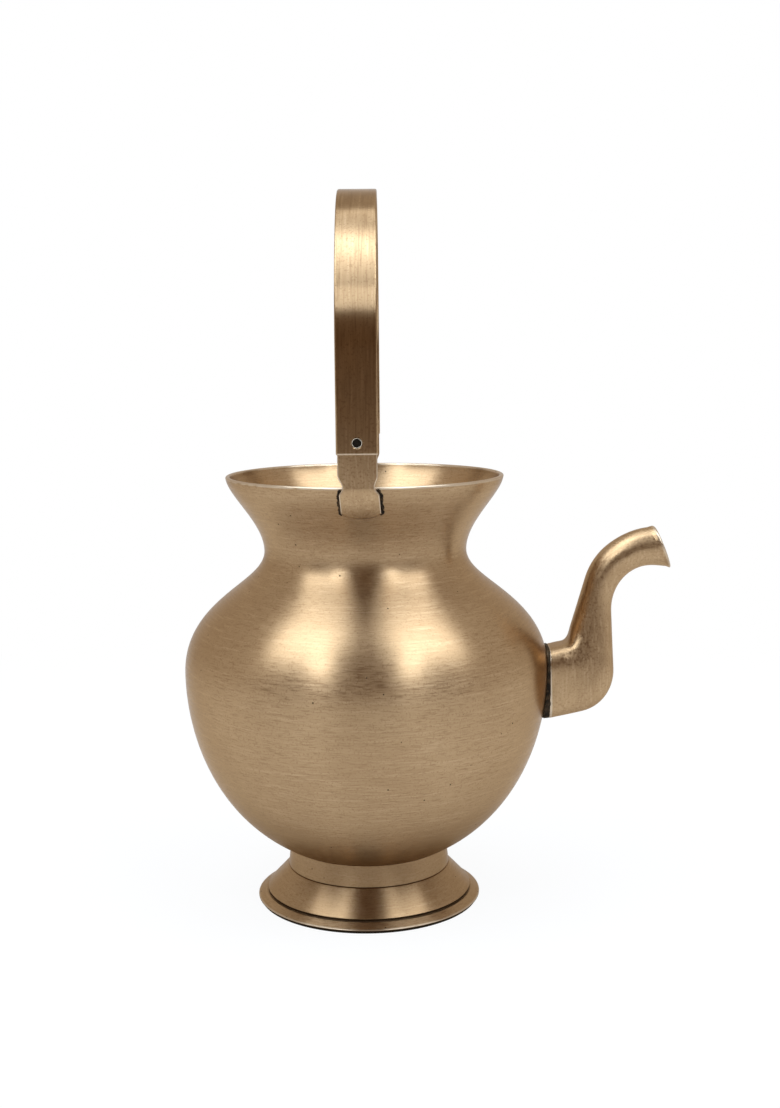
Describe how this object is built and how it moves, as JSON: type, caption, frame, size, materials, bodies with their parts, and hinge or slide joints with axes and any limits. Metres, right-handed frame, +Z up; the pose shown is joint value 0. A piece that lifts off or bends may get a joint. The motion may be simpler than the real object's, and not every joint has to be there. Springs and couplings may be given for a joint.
{
  "type": "spouted ritual pouring vessel",
  "caption": "Round-bellied bronze pouring pot on a flared foot, with a soldered swan-neck spout and a riveted swing bail handle over its flared mouth.",
  "frame": {"origin": "middle of the foot's underside, on the vessel's axis", "axes": "+Z up along the vessel's axis, +X towards the spout, +Y along the bail's hinge away from the viewer of the picture"},
  "size_m": [0.1778, 0.133, 0.2589],
  "materials": {
    "turned_bronze": "satin, brushed round the axis on a lathe",
    "cast_bronze": "satin cast and filed",
    "strap_bronze": "satin, brushed along the strap",
    "dark_solder": "dark uneven solder",
    "blackened_rivet": "blackened rivet"
  },
  "bodies": {
    "vessel": {"vessel_body": "turned_bronze", "foot_skirt": "turned_bronze", "base_ring": "turned_bronze", "foot_braze_ring": "dark_solder", "spout": "cast_bronze", "spout_solder_seam": "dark_solder", "front_ear": "cast_bronze", "rear_ear": "cast_bronze", "front_ear_braze": "dark_solder", "rear_ear_braze": "dark_solder", "front_rivet": "blackened_rivet", "rear_rivet": "blackened_rivet"},
    "bail": {"bail_handle": "strap_bronze"}
  },
  "joints": [
    {"name": "bail_hinge", "type": "hinge", "parent": "vessel", "child": "bail", "pos_m": [-0.0015, 0, 0.1731], "axis": [0, 1, 0], "range_deg": [-130, 130]}
  ]
}
